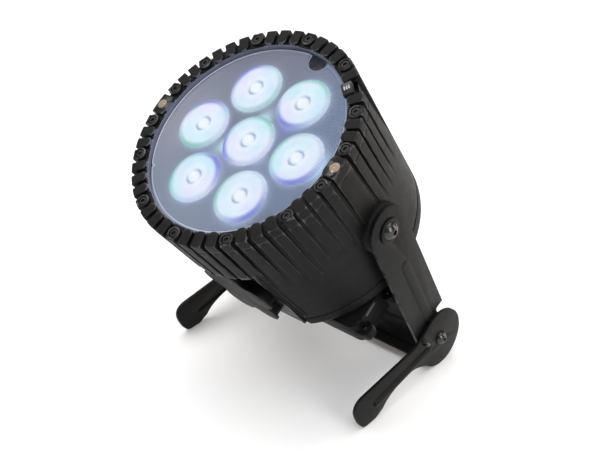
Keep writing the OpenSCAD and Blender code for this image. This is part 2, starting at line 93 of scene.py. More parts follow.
HEAD = (
    Matrix.Translation(JOINTS["head_tilt"]["pos_m"])
    @ Matrix.Rotation(TILT, 4, "X")
    @ Matrix.Translation((0, 0, PIVOT_D * MM))
    @ Matrix.Scale(MM, 4)
)
LEG_PIVOT = Vector(JOINTS["leg_right_fold"]["pos_m"])
YOKE = (
    Matrix.Translation((0, LEG_PIVOT.y, LEG_PIVOT.z))
    @ Matrix.Rotation(LEAN, 4, "X")
    @ Matrix.Scale(MM, 4)
)


def wall_r(depth):
    """Radius of the head's outer wall at a depth behind the rim."""
    return RIM_R - DRAFT * depth


# ---------------------------------------------------------------- materials


MATERIALS = {}


class Nodes:
    """The node tree of a new material, with short calls for the nodes used here. The
    material is kept in MATERIALS under its name."""

    def __init__(self, name):
        material = bpy.data.materials.new(name)
        material.use_nodes = True
        MATERIALS[name] = material
        self.tree = material.node_tree
        self.shader = self.tree.nodes["Principled BSDF"]
        self.coords = self.add("ShaderNodeTexCoord").outputs["Object"]

    def add(self, kind, **values):
        node = self.tree.nodes.new(kind)
        for key, value in values.items():
            setattr(node, key, value)
        return node

    def link(self, a, b):
        self.tree.links.new(a, b)

    def noise(self, size_mm, detail, roughness=0.5, coords=None):
        """Cloudy noise whose largest features are about size_mm across."""
        node = self.add("ShaderNodeTexNoise")
        node.inputs["Scale"].default_value = 1000.0 / size_mm
        node.inputs["Detail"].default_value = detail
        node.inputs["Roughness"].default_value = roughness
        self.link(coords or self.coords, node.inputs["Vector"])
        return node.outputs["Fac"]

    def ramp(self, fac, stops):
        """Colour, or grey value, that runs through the given (place, colour) stops."""
        node = self.add("ShaderNodeValToRGB")
        elements = node.color_ramp.elements
        while len(elements) < len(stops):
            elements.new(0.5)
        for element, (place, colour) in zip(elements, stops):
            element.position = place
            element.color = (*colour, 1) if isinstance(colour, tuple) else (colour,) * 3 + (1,)
        self.link(fac, node.inputs["Fac"])
        return node.outputs["Color"]

    def bump(self, height, distance_mm, strength):
        node = self.add("ShaderNodeBump")
        node.inputs["Distance"].default_value = distance_mm * MM
        node.inputs["Strength"].default_value = strength
        self.link(height, node.inputs["Height"])
        return node

    def product(self, a, b):
        node = self.add("ShaderNodeMath", operation="MULTIPLY")
        self.link(a, node.inputs[0])
        self.link(b, node.inputs[1])
        return node.outputs["Value"]

    def near_rim(self, near, far):
        """1 down to the depth near behind the rim, falling to 0 at the depth far, in mm."""
        axis = HEAD.to_3x3().col[2].normalized()
        along = self.add("ShaderNodeVectorMath", operation="DOT_PRODUCT")
        self.link(self.coords, along.inputs[0])
        along.inputs[1].default_value = axis
        fade = self.add("ShaderNodeMapRange")
        rim = HEAD.translation.dot(axis)
        fade.inputs["From Min"].default_value = rim - far * MM
        fade.inputs["From Max"].default_value = rim - near * MM
        self.link(along.outputs["Value"], fade.inputs["Value"])
        return fade.outputs["Result"]

    def stretched(self, scale):
        """The object's coordinates, with each axis scaled by its own factor."""
        node = self.add("ShaderNodeMapping")
        node.inputs["Scale"].default_value = scale
        self.link(self.coords, node.inputs["Vector"])
        return node.outputs["Vector"]

    def set(self, **values):
        """Sets the shader's plain values, named as its sockets are."""
        for key, value in values.items():
            socket = self.shader.inputs[key.replace("_", " ")]
            socket.default_value = value


def grey(value):
    return (value, value, value)


# Colour of lighter edges: partly real wear, partly a painted highlight
WEAR_AND_HIGHLIGHT = grey(0.11)

# Sharpness at which an edge's lighter colour, partly wear and partly painted highlight,
# starts and is full: on finely meshed pieces, and on CAD shapes with rounded edges.
FINE_EDGES = (0.522, 0.554)
ROUNDED_EDGES = (0.60, 0.74)


def powder_coat(name, dark, light, roughness, grain_mm=0.9, bump_mm=0.05, gloss=0.2,
                edges=ROUNDED_EDGES):
    """Satin powder coat: fine orange peel, soft cloudy tone, a little dust, and edges lighter in
    places from wear and a painted highlight. On finely meshed pieces only the part near the rim
    has them."""
    m = Nodes(name)
    dust = [4.5 * value for value in light]
    tone = m.ramp(m.noise(38.0, 3.0), [(0.35, dark), (0.7, light)])
    specks = m.ramp(m.noise(2.6, 1.0), [(0.70, 0.0), (0.76, 0.4)])
    dusty = m.add("ShaderNodeMix", data_type="RGBA")
    m.link(specks, dusty.inputs["Factor"])
    m.link(tone, dusty.inputs["A"])
    dusty.inputs["B"].default_value = (*dust, 1)
    # Edges turn lighter in patches: partly wear, partly a painted highlight
    sharpness = m.add("ShaderNodeNewGeometry").outputs["Pointiness"]
    patches = m.ramp(m.noise(11.0, 3.0), [(0.40, 0.12), (0.62, 1.0)])
    rubbed_and_lit = m.product(m.ramp(sharpness, [(edges[0], 0.0), (edges[1], 1.0)]), patches)
    if edges is FINE_EDGES:
        rubbed_and_lit = m.product(rubbed_and_lit, m.near_rim(near=60.0, far=88.0))
    wear_and_highlight_mix = m.add("ShaderNodeMix", data_type="RGBA")
    m.link(rubbed_and_lit, wear_and_highlight_mix.inputs["Factor"])
    m.link(dusty.outputs["Result"], wear_and_highlight_mix.inputs["A"])
    wear_and_highlight_mix.inputs["B"].default_value = (*WEAR_AND_HIGHLIGHT, 1)
    m.link(wear_and_highlight_mix.outputs["Result"], m.shader.inputs["Base Color"])
    m.link(
        m.ramp(m.noise(14.0, 6.0, 0.65), [(0.3, roughness - 0.05), (0.75, roughness + 0.07)]),
        m.shader.inputs["Roughness"],
    )
    m.set(Specular_IOR_Level=gloss)
    peel = m.bump(m.noise(grain_mm, 2.0), bump_mm, 0.55)
    m.link(peel.outputs["Normal"], m.shader.inputs["Normal"])


def moulded(name, dark, light, roughness, bump_mm=0.02, **values):
    """Moulded plastic or rubber with a faint flow pattern."""
    m = Nodes(name)
    m.link(
        m.ramp(m.noise(22.0, 3.0), [(0.3, dark), (0.75, light)]), m.shader.inputs["Base Color"]
    )
    m.link(
        m.ramp(m.noise(5.0, 5.0), [(0.3, max(roughness - 0.06, 0.03)), (0.75, roughness + 0.06)]),
        m.shader.inputs["Roughness"],
    )
    m.set(**values)
    fine = m.bump(m.noise(0.7, 2.0), bump_mm, 0.5)
    m.link(fine.outputs["Normal"], m.shader.inputs["Normal"])


def metal(name, dark, light, roughness):
    """Bare or plated metal with fine drawn scratches, which run along X."""
    m = Nodes(name)
    scratches_per_metre = (60, 900, 900)
    lines = m.noise(1000.0, 3.0, 0.6, coords=m.stretched(scratches_per_metre))
    m.link(m.ramp(lines, [(0.3, dark), (0.7, light)]), m.shader.inputs["Base Color"])
    m.link(
        m.ramp(lines, [(0.25, roughness - 0.06), (0.8, roughness + 0.08)]),
        m.shader.inputs["Roughness"],
    )
    m.set(Metallic=1.0)
    fine = m.bump(lines, 0.01, 0.4)
    m.link(fine.outputs["Normal"], m.shader.inputs["Normal"])


powder_coat("cast_black", grey(0.0034), grey(0.0056), 0.50, gloss=0.11)
powder_coat("ribbed_black", grey(0.0034), grey(0.0056), 0.50, gloss=0.11, edges=FINE_EDGES)
powder_coat("coated_steel", grey(0.0036), grey(0.0058), 0.45, grain_mm=0.7, bump_mm=0.035,
            gloss=0.13)
powder_coat("magnet_disc", (0.20, 0.155, 0.115), (0.26, 0.205, 0.155), 0.55)
metal("dark_screw", grey(0.012), grey(0.03), 0.25)
metal("bright_screw", (0.45, 0.48, 0.52), (0.65, 0.68, 0.72), 0.26)
metal("bare_aluminium", grey(0.5), grey(0.7), 0.35)
metal("plunger_steel", grey(0.06), grey(0.12), 0.3)
metal("silver_pad", grey(0.22), grey(0.34), 0.3)
moulded("seal_rubber", grey(0.005), grey(0.008), 0.6, Specular_IOR_Level=0.2)
moulded("white_plastic", grey(0.7), grey(0.8), 0.4)
moulded("led_phosphor", (0.8, 0.65, 0.15), (0.9, 0.75, 0.2), 0.3)
moulded("core_board", grey(0.7), grey(0.8), 0.35)
moulded("circuit_board", (0.01, 0.10, 0.04), (0.02, 0.15, 0.06), 0.3)
moulded("blank_label", (0.030, 0.029, 0.028), (0.045, 0.043, 0.04), 0.45)
moulded("dark_window", (0.006, 0.01, 0.02), (0.01, 0.015, 0.03), 0.08)
moulded("key_rubber", grey(0.05), grey(0.07), 0.55)
moulded("power_plastic", (0.012, 0.03, 0.09), (0.02, 0.04, 0.12), 0.3)
moulded("data_plastic", grey(0.010), grey(0.016), 0.3)
moulded("vent_plastic", grey(0.06), grey(0.09), 0.45)
moulded("black_plastic", grey(0.004), grey(0.006), 0.42, Specular_IOR_Level=0.25)
moulded("knob_plastic", grey(0.004), grey(0.006), 0.5, Specular_IOR_Level=0.1)
moulded("friction_lining", grey(0.006), (0.01, 0.009, 0.009), 0.6, Specular_IOR_Level=0.2)
moulded("gloss_bolt", grey(0.006), grey(0.010), 0.17, bump_mm=0.004, Specular_IOR_Level=0.55)
moulded("lit_wall", (0.075, 0.082, 0.12), (0.105, 0.115, 0.16), 0.5)


def glow_material(name, strength, grain=0.07):
    """Lit surface: its painted glow colours shine, with fine moulded grain."""
    m = Nodes(name)
    paint = m.add("ShaderNodeVertexColor", layer_name="glow")
    fine = m.ramp(m.noise(1.1, 3.0), [(0.25, grey(1.0 - grain)), (0.75, grey(1.0))])
    mixed = m.add("ShaderNodeMix", data_type="RGBA", blend_type="MULTIPLY")
    mixed.inputs["Factor"].default_value = 1.0
    m.link(paint.outputs["Color"], mixed.inputs["A"])
    m.link(fine, mixed.inputs["B"])
    m.link(mixed.outputs["Result"], m.shader.inputs["Emission Color"])
    m.set(Base_Color=(0.006, 0.007, 0.009, 1), Roughness=0.25, Emission_Strength=strength)
    m.set(IOR=1.49, Specular_IOR_Level=0.12)


def haze_tone(strength):
    """Slightly blue grey of the haze in a clear sheet."""
    return (strength, strength * 1.08, strength * 1.3)


def sheet_material(name, clearness, haze):
    """Clear sheet with a faint haze in it, and fine scuffs in its gloss."""
    m = Nodes(name)
    scuffs = m.noise(2.5, 6.0, 0.7)
    m.link(m.ramp(scuffs, [(0.35, 0.10), (0.8, 0.24)]), m.shader.inputs["Roughness"])
    cloud = m.ramp(m.noise(60.0, 2.0), [(0.3, haze_tone(0.85 * haze)), (0.7, haze_tone(haze))])
    m.link(cloud, m.shader.inputs["Base Color"])
    m.set(Alpha=1 - clearness, IOR=1.49, Specular_IOR_Level=0.4)


glow_material("clear_acrylic", 1.36, 0.10)
glow_material("lens_mask", 1.42)
glow_material("sheet_edge", 1.0, 0.15)
sheet_material("clear_sheet", 0.86, 0.10)
sheet_material("tempered_glass", 0.96, 0.05)

for node_name, obj in NODES.items():
    obj.data.materials.clear()
    obj.data.materials.append(MATERIALS[SLOT_OF[node_name]])


# ---------------------------------------------------------------- mesh helpers


def new_piece(name, mesh, body, nodes=(), material=None, slot=None):
    """Adds a mesh as a piece that rides on a body and stands for the given CAD nodes."""
    obj = bpy.data.objects.new(name, mesh)
    bpy.context.scene.collection.objects.link(obj)
    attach(obj, body)
    if nodes:
        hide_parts(*nodes)
    slot = slot or SLOT_OF[nodes[0]]
    if not mesh.materials:
        mesh.materials.append(MATERIALS[material or slot])
    return obj


def mesh_from(bm, name):
    """Turns a bmesh into a new mesh."""
    mesh = bpy.data.meshes.new(name)
    bm.to_mesh(mesh)
    bm.free()
    return mesh


def shade_smooth(mesh):
    for polygon in mesh.polygons:
        polygon.use_smooth = True


def smooth_by_angle(mesh, degrees):
    """Keeps edges sharper than an angle hard in a smooth mesh."""
    mesh.set_sharp_from_angle(angle=math.radians(degrees))


def applied(obj):
    """Replaces an object's mesh by its mesh with the modifiers applied."""
    graph = bpy.context.evaluated_depsgraph_get()
    mesh = bpy.data.meshes.new_from_object(obj.evaluated_get(graph))
    obj.modifiers.clear()
    obj.data = mesh
    return mesh


def rounded(obj, width_mm, segments=2, angle=28.0):
    """Rounds the edges of an object that are sharper than an angle, and gives its new mesh."""
    bevel = obj.modifiers.new("rounded_edges", "BEVEL")
    bevel.width = width_mm * MM
    bevel.segments = segments
    bevel.limit_method = "ANGLE"
    bevel.angle_limit = math.radians(angle)
    return applied(obj)


def cleaned_copy(node, keep=None):
    """A bmesh copy of a CAD node's shape with its flat faces joined. Corners for which
    keep() is false are left out."""
    bm = bmesh.new()
    bm.from_mesh(NODES[node].data)
    bmesh.ops.remove_doubles(bm, verts=bm.verts, dist=2e-6)
    if keep:
        lost = [v for v in bm.verts if not keep(v.co)]
        bmesh.ops.delete(bm, geom=lost, context="VERTS")
    bmesh.ops.dissolve_limit(
        bm, angle_limit=math.radians(0.6), verts=bm.verts, edges=bm.edges,
        use_dissolve_boundaries=False,
    )
    return bm


def refined(node, width_mm, segments=2, angle=28.0, material=None, keep=None, extra=None):
    """Stands for a CAD node by a copy of its shape with every hard edge rounded.
    extra(bm) adds finer shapes to the copy."""
    mesh = mesh_from(cleaned_copy(node, keep), "fine_" + node)
    obj = new_piece(mesh.name, mesh, BODY_OF[node], (node,), material)
    mesh = rounded(obj, width_mm, segments, angle)
    if extra:
        bm = bmesh.new()
        bm.from_mesh(mesh)
        extra(bm)
        bm.to_mesh(mesh)
        bm.free()
    shade_smooth(mesh)
    smooth_by_angle(mesh, 42.0)
    return obj


def join_rings(bm, rings):
    """Faces between each two neighbouring rings of vertices."""
    faces = []
    for upper, lower in zip(rings, rings[1:]):
        for c in range(len(upper)):
            d = (c + 1) % len(upper)
            faces.append(bm.faces.new((upper[c], upper[d], lower[d], lower[c])))
    return faces


def dome_grid(bm, matrix, outline, height, rings):
    """A soft raised shape: rings of an outline(share) of points, from full size to small,
    rising as a rounded hump of the given height."""
    rows = []
    for k in range(rings + 1):
        share = 1 - k / rings
        lift = height * math.sqrt(1 - share ** 2)
        rows.append([bm.verts.new(matrix @ Vector((x, y, lift))) for x, y in outline(share)])
    join_rings(bm, rows)
    bm.faces.new(rows[-1])


def pill(length, radius, steps=10):
    """Outline of a pill from (0, 0) along +X, as a function of its share of the radius."""
    def outline(share):
        r = max(radius * share, 0.05)
        points = []
        for k in range(steps + 1):
            a = math.radians(-90 + 180 * k / steps)
            points.append((length + r * math.cos(a), r * math.sin(a)))
        for k in range(steps + 1):
            a = math.radians(90 + 180 * k / steps)
            points.append((r * math.cos(a), r * math.sin(a)))
        return points
    return outline


def circle_outline(radius, steps=32):
    """Outline of a circle, as a function of its share of the radius."""
    def outline(share):
        r = max(radius * share, 0.05)
        return [
            (r * math.cos(math.tau * k / steps), r * math.sin(math.tau * k / steps))
            for k in range(steps)
        ]
    return outline


def ring_mesh(name, rows, matrix):
    """A mesh from rows of points around an axis. Each row is a closed ring, and the last row
    joins the first."""
    count = len(rows[0])
    points = [matrix @ Vector(point) for row in rows for point in row]
    faces = []
    for k in range(len(rows)):
        upper = k * count
        lower = (k + 1) % len(rows) * count
        for c in range(count):
            d = (c + 1) % count
            faces.append((upper + c, lower + c, lower + d, upper + d))
    mesh = bpy.data.meshes.new(name)
    mesh.from_pydata(points, [], faces)
    bm = bmesh.new()
    bm.from_mesh(mesh)
    bmesh.ops.remove_doubles(bm, verts=bm.verts, dist=2e-6)
    bmesh.ops.recalc_face_normals(bm, faces=bm.faces)
    bm.to_mesh(mesh)
    bm.free()
    shade_smooth(mesh)
    return mesh


# ---------------------------------------------------------------- rim and housing


# Angles around the rim, in degrees. Between two screws there are three plain teeth in a gap
# of 30 degrees and two in one of 20, and the latch takes the place of one.
SCREW_ANGLES = [side + a for side in (0, 180) for a in (10, 30, 60, 90, 120, 150, 170)]
WIDE_ANGLES = [0, 180]
LATCH_ANGLE = 45
PLAIN_ANGLES = [
    start + 7.5 * i
    for start in (30, 60, 90, 120, 210, 240, 270, 300)
    for i in (1, 2, 3)
    if start + 7.5 * i != LATCH_ANGLE
] + [start + 20 / 3 * i for start in (10, 150, 190, 330) for i in (1, 2)]


def tooth_list():
    """Every tooth as (angle, half width, kind), in order around the rim."""
    teeth = [(a % 360, HALF_RIB, "plain") for a in PLAIN_ANGLES]
    teeth += [(a % 360, HALF_WIDE, "wide") for a in WIDE_ANGLES]
    teeth += [(a % 360, HALF_RIB, "screw") for a in SCREW_ANGLES]
    return sorted(teeth)


ROUND_STEPS = (0.0, 30.0, 60.0, 90.0)  # degrees around a tooth's rounded edge
EDGE = 0.55  # radius of that edge


def columns():
    """Columns of points around the rim, each as (kind, place, share, inset, drop). On a tooth,
    share runs from -1 to 1 across it, and inset and drop say how far the column lies inside
    its side and below its top, in parts of EDGE. In a gap, place is the teeth on both sides
    and share runs from 0 to 1 between them. A drop of None means the floor beside a tooth."""
    cols = []
    teeth = tooth_list()
    for index, tooth in enumerate(teeth):
        cols.append(("tooth", tooth, -1.0, 0.0, None))
        for phi in ROUND_STEPS:
            phi = math.radians(phi)
            cols.append(("tooth", tooth, -1.0, 1 - math.cos(phi), 1 - math.sin(phi)))
        for share in (-0.5, 0.0, 0.5):
            cols.append(("tooth", tooth, share, 0.0, 0.0))
        for phi in reversed(ROUND_STEPS):
            phi = math.radians(phi)
            cols.append(("tooth", tooth, 1.0, 1 - math.cos(phi), 1 - math.sin(phi)))
        cols.append(("tooth", tooth, 1.0, 0.0, None))
        after = teeth[(index + 1) % len(teeth)]
        for share in (0.2, 0.5, 0.8):
            cols.append(("gap", (tooth, after), share, 0.0, None))
    return cols


COLUMNS = columns()


def half_width(tooth, r, with_boss):
    """A tooth's half width at a radius. A screw's tooth swells into its round boss."""
    _, half, kind = tooth
    if kind != "screw" or not with_boss:
        return half
    reach = BOSS_R * BOSS_R - max(r - SCREW_R, 0.0) ** 2
    return max(half, math.sqrt(max(reach, 0.0)))


def column_angle(col, r, with_boss):
    """Angle about the axis at which a column lies at a radius."""
    kind, tooth, share, inset, _ = col
    if kind == "gap":
        before, after = tooth
        start = before[0] + math.degrees(math.asin(half_width(before, r, with_boss) / r))
        end = after[0] - math.degrees(math.asin(half_width(after, r, with_boss) / r))
        if end < start - 180:
            end += 360
        return start + (end - start) * share
    half = half_width(tooth, r, with_boss)
    offset = share * half - math.copysign(inset * EDGE, share) if share else 0.0
    return tooth[0] + math.degrees(math.asin(offset / r))


def inner_end(col):
    """Radius at which a tooth's rounded inner end starts, for one column."""
    kind, tooth, share, inset, _ = col
    if kind == "gap":
        return OPENING_R + 1.2
    half = BOSS_R if tooth[2] == "screw" else tooth[1]
    offset = abs(share) * half - inset * EDGE
    if tooth[2] == "screw":
        return SCREW_R - math.sqrt(max(BOSS_R ** 2 - offset ** 2, 0.0))
    corner = 3.6
    side = max(offset - (half - corner), 0.0)
    return OPENING_R + 0.9 + corner - math.sqrt(max(corner ** 2 - side ** 2, 0.0))


def polar(angle, r, z):
    """Point at an angle in degrees, a radius and a height."""
    angle = math.radians(angle)
    return (r * math.cos(angle), r * math.sin(angle), z)


def face_point(col, r_top, r_floor, top_drop):
    """A point of the rim's front face, on a tooth's top or on the floor between teeth."""
    drop = col[4]
    if drop is None:
        r, z = r_floor, -CHANNEL_D
    else:
        r, z = r_top, -max(drop, top_drop) * EDGE
    return polar(column_angle(col, r, True), r, z)


def side_point(col, depth, extra=0.0, with_boss=False):
    """A point of the outer wall, on a rib or on the floor between ribs."""
    drop = col[4]
    cone = wall_r(depth) - extra
    floor = min(cone, FLOOR_R - extra)
    if drop is None:
        r = floor
    else:
        r = cone - min(drop * EDGE, (cone - floor) * 0.9)
    return polar(column_angle(col, r, with_boss), r, -depth)


def bezel_rows():
    """Rows of the rim from its seat through the opening, over the front face and down its
    outer wall."""
    rows = []
    seat_r = 95.8
    top_end_r = 104.9
    floor_end_r = 101.9
    taper_d = 10.2
    for r, z in ((seat_r, -BEZEL_H), (seat_r, -GLASS_D), (OPENING_R, -GLASS_D),
                 (OPENING_R, -CHANNEL_D - 0.5), (OPENING_R + 0.15, -CHANNEL_D - 0.15),
                 (OPENING_R + 0.5, -CHANNEL_D)):
        rows.append([polar(column_angle(c, r, True), r, z) for c in COLUMNS])
    rows.append([
        polar(column_angle(c, inner_end(c), True), inner_end(c), -CHANNEL_D) for c in COLUMNS
    ])
    for phi in ROUND_STEPS:
        phi = math.radians(phi)
        step, drop = EDGE * (1 - math.cos(phi)), 1 - math.sin(phi)
        rows.append([
            face_point(c, inner_end(c) + step, inner_end(c) + 0.1 + step, drop) for c in COLUMNS
        ])
    for share in (0.35, 0.7, 0.92):
        row = []
        for c in COLUMNS:
            top_start = inner_end(c) + 0.6
            floor_start = inner_end(c) + 0.8
            top = top_start + (top_end_r - 0.3 - top_start) * share
            floor = floor_start + (floor_end_r - 0.3 - floor_start) * share
            row.append(face_point(c, top, floor, 0.0))
        rows.append(row)
    rows.append([face_point(c, top_end_r, floor_end_r, 0.0) for c in COLUMNS])
    for back, depth in ((0.9, 0.12), (0.38, 0.5), (0.12, 0.9), (0.0, 1.5)):
        rows.append([chamfer_point(c, back, depth) for c in COLUMNS])
    for depth in (3.6, 5.5, 8.0, taper_d, 10.6, 10.85):
        extra = max(depth - taper_d, 0.0) * 0.6
        rows.append([side_point(c, depth, extra, True) for c in COLUMNS])
    rows.append([side_point(c, BEZEL_H, 0.9, True) for c in COLUMNS])
    return rows


def chamfer_point(col, back, depth):
    """A point on the rounded front edge of the rim's outer side."""
    drop = col[4]
    if drop is None:
        r = FLOOR_R - back * 0.5
        z = -CHANNEL_D - depth * 0.3
    else:
        r = wall_r(depth) - back - drop * EDGE * 0.7
        z = -max(depth, drop * EDGE)
    return polar(column_angle(col, r, True), r, z)


def housing_rows():
    """Rows of the can from its front edge along the outer wall to the seam, and back along
    the inner wall. They lie closer together at both ends and where the ribs run out."""
    front_d = 11.12
    front_r = 99.0
    front_round_d = 12.0
    back_round_d = 143.4
    depths = [front_d, 11.3, 11.7, 12.3]
    depths += [14 + 6 * i for i in range(9)]
    depths += [66 + 2 * i for i in range(10)]
    depths += [88 + 8 * i for i in range(7)]
    depths += [142.6, 143.6, 144.1]
    rows = [[polar(column_angle(c, front_r, False), front_r, -front_d) for c in COLUMNS]]
    for depth in depths:
        extra = 0.0
        if depth < front_round_d:
            extra = (front_round_d - depth) * 0.7
        if depth > back_round_d:
            extra = (depth - back_round_d) * 0.8
        rows.append([side_point(c, depth, extra) for c in COLUMNS])
    for r, z in ((98.6, -144.4), (96.4, -144.4), (96.6, -32.0), (97.6, -16.0)):
        rows.append([polar(column_angle(c, r, False), r, z) for c in COLUMNS])
    return rows


def cylinder_bm(bm, radius, depth, matrix, segments=48):
    """Adds a closed cylinder along Z of the matrix, with its middle at the origin."""
    bmesh.ops.create_cone(
        bm, cap_ends=True, segments=segments, radius1=radius, radius2=radius, depth=depth,
        matrix=matrix,
    )


def cut(obj, cutter_bm, name):
    """Cuts a shape out of an object's mesh."""
    cutter = bpy.data.objects.new(name, mesh_from(cutter_bm, name))
    bpy.context.scene.collection.objects.link(cutter)
    modifier = obj.modifiers.new("cut", "BOOLEAN")
    modifier.operation = "DIFFERENCE"
    modifier.solver = "EXACT"
    modifier.object = cutter
    applied(obj)
    bpy.data.objects.remove(cutter)


def at_angle(angle, r, z):
    """Head-frame matrix at a place on the rim, with X pointing outwards."""
    return Matrix.Rotation(math.radians(angle), 4, "Z") @ Matrix.Translation((r, 0, z))


def build_bezel():
    """The toothed rim with its screw holes and the latch's pocket. Its walls inside the
    opening carry painted light from the lamps."""
    mesh = ring_mesh("rim_bezel", bezel_rows(), HEAD)
    obj = new_piece("rim_bezel", mesh, BODY_OF["front_bezel"], ("front_bezel",), "ribbed_black")
    cutter = bmesh.new()
    for a in SCREW_ANGLES:
        cylinder_bm(cutter, radius=4.4, depth=6.0, matrix=HEAD @ at_angle(a, SCREW_R, 0.2))
    for a in WIDE_ANGLES:
        cylinder_bm(cutter, radius=4.75, depth=4.0, matrix=HEAD @ at_angle(a, SCREW_R, -0.5))
    pocket_size = Matrix.Diagonal((15.4, 12.7, 6.0, 1))
    pocket = HEAD @ at_angle(LATCH_ANGLE, 94.7, -1.5) @ pocket_size
    bmesh.ops.create_cube(cutter, size=1.0, matrix=pocket)
    cut(obj, cutter, "rim_holes")
    smooth_by_angle(obj.data, 38.0)
    # Painted lamp light: the walls inside the opening get the lighter blue lit_wall material
    obj.data.materials.append(MATERIALS["lit_wall"])
    lit_d = 1.5
    lit_r = OPENING_R + 1.4
    back = HEAD.inverted()
    for polygon in obj.data.polygons:
        place = back @ polygon.center
        if place.z < -lit_d and math.hypot(place.x, place.y) < lit_r:
            polygon.material_index = 1


def add_box(bm, matrix, low, high):
    """A box between two corners in the frame of a matrix."""
    middle = [(a + b) / 2 for a, b in zip(low, high)]
    size = [b - a for a, b in zip(low, high)]
    place = matrix @ Matrix.Translation(middle) @ Matrix.Diagonal((*size, 1))
    bmesh.ops.create_cube(bm, size=1.0, matrix=place)


def lathe(profile, segments=96):
    """Rows of points turned about Z from (radius, z) pairs, for ring_mesh."""
    return [
        [polar(360.0 * c / segments, r, z) for c in range(segments)] for r, z in profile
    ]


def build_housing():
    """The ribbed can, with the recess cut out of its underside."""
    mesh = ring_mesh("ribbed_can", housing_rows(), HEAD)
    obj = new_piece("ribbed_can", mesh, BODY_OF["housing"], ("housing",), "ribbed_black")
    cutter = bmesh.new()
    beyond_can = (-RECESS_W, -144, -180)
    add_box(cutter, HEAD, beyond_can, (RECESS_W, -RECESS_Y, -RECESS_D))
    cut(obj, cutter, "recess_cut")
    smooth_by_angle(obj.data, 38.0)


def build_recess_walls():
    """Walls of the underside recess, in strips that follow the round can, and a lip along
    each of its sides."""
    wall = 2.5
    strips = 16
    half_strips = 20
    in_can_wall_r = 99.0
    lip = 2.6
    bm = bmesh.new()
    start_d = RECESS_D - wall
    depths = [start_d + (SEAM_D - start_d) * k / strips for k in range(strips + 1)]
    for near, far in zip(depths, depths[1:]):
        half = min(RECESS_W + wall, math.sqrt(wall_r(far) ** 2 - RECESS_Y ** 2) - 0.3)
        add_box(bm, HEAD, (-half, -RECESS_Y, -far), (half, -RECESS_Y + wall, -near + 0.01))
    for k in range(-half_strips, half_strips):
        x0, x1 = RECESS_W * k / half_strips, RECESS_W * (k + 1) / half_strips
        reach = math.sqrt(in_can_wall_r ** 2 - max(abs(x0), abs(x1)) ** 2)
        add_box(bm, HEAD, (x0, -reach, -RECESS_D), (x1, -RECESS_Y, -RECESS_D + wall))
    bmesh.ops.remove_doubles(bm, verts=bm.verts, dist=2e-6)
    for side in (-1, 1):
        x0, x1 = sorted((side * RECESS_W, side * (RECESS_W + lip)))
        edge_y = -math.sqrt(wall_r(SEAM_D) ** 2 - (RECESS_W + lip) ** 2) + 0.6
        add_box(bm, HEAD, (x0, edge_y, 8.0 - SEAM_D), (x1, -RECESS_Y + 1.0, -RECESS_D))
    mesh = mesh_from(bm, "recess_walls")
    walls = new_piece(mesh.name, mesh, BODY_OF["housing"], slot="cast_black")
    mesh = rounded(walls, 0.6)
    shade_smooth(mesh)
    smooth_by_angle(mesh, 42.0)


def build_recess_ribs(side, name):
    """Two small ribs along one edge of the recess, which follow the can's slope."""
    section = ((-0.8, 1.5), (-0.8, -0.9), (0.8, -0.9), (0.8, 1.5))
    steps = 8
    start_d = RECESS_D - 4
    length = SEAM_D - RECESS_D - 2
    bm = bmesh.new()
    for x in (RECESS_W + 0.9, RECESS_W + 4.4):
        rows = []
        for k in range(steps + 1):
            depth = start_d + length * k / steps
            y = -math.sqrt(wall_r(depth) ** 2 - x ** 2)
            corners = [(side * x + dx, y + dy, -depth) for dx, dy in section]
            rows.append([bm.verts.new(HEAD @ Vector(corner)) for corner in corners])
        join_rings(bm, rows)
        bm.faces.new(rows[0])
        bm.faces.new(rows[-1])
    bmesh.ops.recalc_face_normals(bm, faces=bm.faces)
    mesh = mesh_from(bm, "recess_rib_" + name)
    ribs = new_piece(mesh.name, mesh, BODY_OF["housing"], slot="cast_black")
    mesh = rounded(ribs, 0.35, 1)
    shade_smooth(mesh)
    smooth_by_angle(mesh, 42.0)


def build_pivot_bosses():
    """The thick round bosses that the yoke arms clamp against."""
    profile = [(6.0, 96.0), (22.5, 96.0), (22.5, 106.0), (22.3, 106.6), (21.7, 107.05),
               (21.0, 107.2), (6.0, 107.2)]
    for side, name in ((1, "right"), (-1, "left")):
        outward = Matrix.Rotation(side * math.pi / 2, 4, "Y")
        place = HEAD @ Matrix.Translation((0, 0, -PIVOT_D)) @ outward
        mesh = ring_mesh("pivot_boss_" + name, lathe(profile), place)
        boss = new_piece(mesh.name, mesh, BODY_OF["housing"], slot="cast_black")
        smooth_by_angle(boss.data, 35.0)


build_bezel()
build_housing()
build_recess_walls()
build_recess_ribs(-1, "left")
build_recess_ribs(1, "right")
build_pivot_bosses()

# ---------------------------------------------------------------- lamps and clear sheets

WHITE = (0.90, 0.97, 1.05)
CYAN = (0.56, 0.86, 0.97)
LAVENDER = (0.76, 0.78, 1.0)
MINT = (0.22, 0.62, 0.46)
VIOLET = (0.17, 0.19, 0.74)
NIGHT = (0.10, 0.125, 0.20)
DIMPLE_SHADE_BLUE = (0.22, 0.34, 0.62)
TOOTH_BLUE = (0.20, 0.30, 0.52)
DUSK = (0.35, 0.45, 0.70)

# Painted stray light and shade on the plate between the lamps: its tone on the whole, towards
# the head's sides, in its shaded corner, and close to a lamp
PLATE = (0.125, 0.172, 0.28)
PLATE_TOP = (0.135, 0.15, 0.205)
PLATE_LEFT = (0.24, 0.25, 0.315)
PLATE_BOTTOM = (0.19, 0.23, 0.31)
PLATE_SHADE = (0.085, 0.10, 0.16)
PLATE_NEAR_LAMP = (0.42, 0.52, 0.74)

# Painted shade of the gap seen through the notch, and the clear sheet's edge where its painted
# light is least and most
NOTCH_GAP_SHADE = (0.008, 0.008, 0.012)
EDGE_DIM = (0.15, 0.18, 0.26)
EDGE_BRIGHT = (0.58, 0.63, 0.74)

